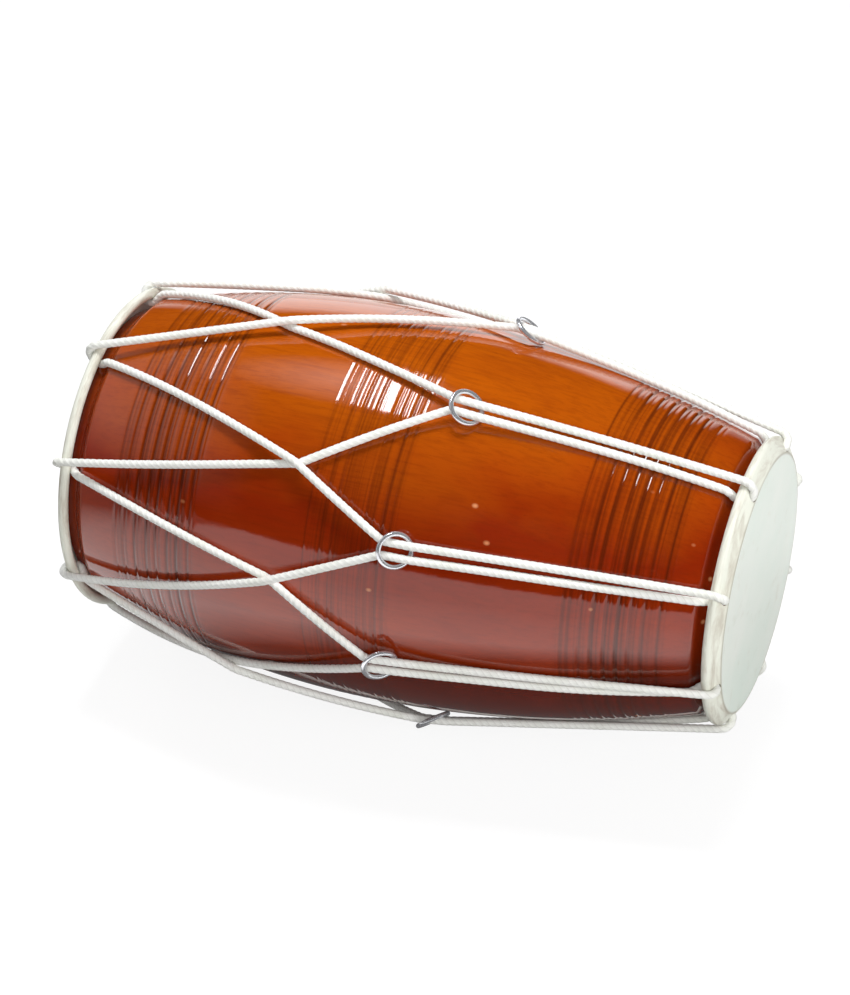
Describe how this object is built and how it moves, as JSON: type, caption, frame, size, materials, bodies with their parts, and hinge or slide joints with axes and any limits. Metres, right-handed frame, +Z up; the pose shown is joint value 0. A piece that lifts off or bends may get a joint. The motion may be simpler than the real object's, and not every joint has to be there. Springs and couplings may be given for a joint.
{
  "type": "dholak",
  "caption": "Barrel hand drum with a turned, lacquered wooden shell, a rawhide head lapped on a hoop at each end, and cotton rope lacing tightened by sliding steel tuning rings.",
  "frame": {"origin": "on the surface that the drum lies on, under the middle of its box", "axes": "+X along the drum's axis towards the smaller treble head, +Z up, -Y the side seen in the picture"},
  "size_m": [0.5002, 0.3102, 0.3077],
  "materials": {
    "lacquered_wood": "high-gloss red-brown lacquer over turned wood",
    "bamboo": "plain split bamboo, hidden in the skin's lap",
    "rawhide": "scraped rawhide, dull",
    "paste": "matt dark tuning paste",
    "cotton_rope": "twisted white cotton",
    "steel": "polished steel wire"
  },
  "bodies": {
    "drum": {"shell": "lacquered_wood", "bass_hoop": "bamboo", "treble_hoop": "bamboo", "bass_head_skin": "rawhide", "treble_head_skin": "rawhide", "bass_tuning_paste": "paste", "treble_lacing_1": "cotton_rope", "treble_lacing_2": "cotton_rope", "treble_lacing_3": "cotton_rope", "treble_lacing_4": "cotton_rope", "treble_lacing_5": "cotton_rope", "treble_lacing_6": "cotton_rope", "treble_lacing_7": "cotton_rope", "treble_lacing_8": "cotton_rope", "bass_lacing_1_over": "cotton_rope", "bass_lacing_1_under": "cotton_rope", "bass_lacing_2_over": "cotton_rope", "bass_lacing_2_under": "cotton_rope", "bass_lacing_3_over": "cotton_rope", "bass_lacing_3_under": "cotton_rope", "bass_lacing_4_over": "cotton_rope", "bass_lacing_4_under": "cotton_rope", "bass_lacing_5_over": "cotton_rope", "bass_lacing_5_under": "cotton_rope", "bass_lacing_6_over": "cotton_rope", "bass_lacing_6_under": "cotton_rope", "bass_lacing_7_over": "cotton_rope", "bass_lacing_7_under": "cotton_rope", "bass_lacing_8_over": "cotton_rope", "bass_lacing_8_under": "cotton_rope", "lacing_knot_1": "cotton_rope", "lacing_knot_2": "cotton_rope"},
    "ring_1": {"tuning_ring_1": "steel"},
    "ring_2": {"tuning_ring_2": "steel"},
    "ring_3": {"tuning_ring_3": "steel"},
    "ring_4": {"tuning_ring_4": "steel"},
    "ring_5": {"tuning_ring_5": "steel"},
    "ring_6": {"tuning_ring_6": "steel"},
    "ring_7": {"tuning_ring_7": "steel"},
    "ring_8": {"tuning_ring_8": "steel"}
  },
  "joints": [
    {"name": "ring_1_slide", "type": "slide", "parent": "drum", "child": "ring_1", "axis": [0.9719, 0.1151, -0.2056], "range_m": [-0.03, 0.08], "deforming": ["treble_lacing_1", "bass_lacing_2_over", "bass_lacing_8_under"]},
    {"name": "ring_2_slide", "type": "slide", "parent": "drum", "child": "ring_2", "axis": [0.9863, 0.1245, -0.1086], "range_m": [-0.03, 0.08], "deforming": ["treble_lacing_2", "bass_lacing_3_over", "bass_lacing_1_under"]},
    {"name": "ring_3_slide", "type": "slide", "parent": "drum", "child": "ring_3", "axis": [0.9918, 0.1257, -0.021], "range_m": [-0.03, 0.08], "deforming": ["treble_lacing_3", "bass_lacing_4_over", "bass_lacing_2_under"]},
    {"name": "ring_4_slide", "type": "slide", "parent": "drum", "child": "ring_4", "axis": [0.9927, 0.1201, -0.0148], "range_m": [-0.03, 0.08], "deforming": ["treble_lacing_4", "bass_lacing_5_over", "bass_lacing_3_under"]},
    {"name": "ring_5_slide", "type": "slide", "parent": "drum", "child": "ring_5", "axis": [0.9904, 0.1087, 0.085], "range_m": [-0.03, 0.08], "deforming": ["treble_lacing_5", "bass_lacing_6_over", "bass_lacing_4_under"]},
    {"name": "ring_6_slide", "type": "slide", "parent": "drum", "child": "ring_6", "axis": [0.99, -0.0312, 0.1377], "range_m": [-0.03, 0.08], "deforming": ["treble_lacing_6", "bass_lacing_7_over", "bass_lacing_5_under"]},
    {"name": "ring_7_slide", "type": "slide", "parent": "drum", "child": "ring_7", "axis": [0.9887, -0.14, 0.0536], "range_m": [-0.03, 0.08], "deforming": ["treble_lacing_7", "bass_lacing_8_over", "bass_lacing_6_under"]},
    {"name": "ring_8_slide", "type": "slide", "parent": "drum", "child": "ring_8", "axis": [0.9787, -0.0804, -0.189], "range_m": [-0.03, 0.08], "deforming": ["treble_lacing_8", "bass_lacing_1_over", "bass_lacing_7_under"]}
  ]
}
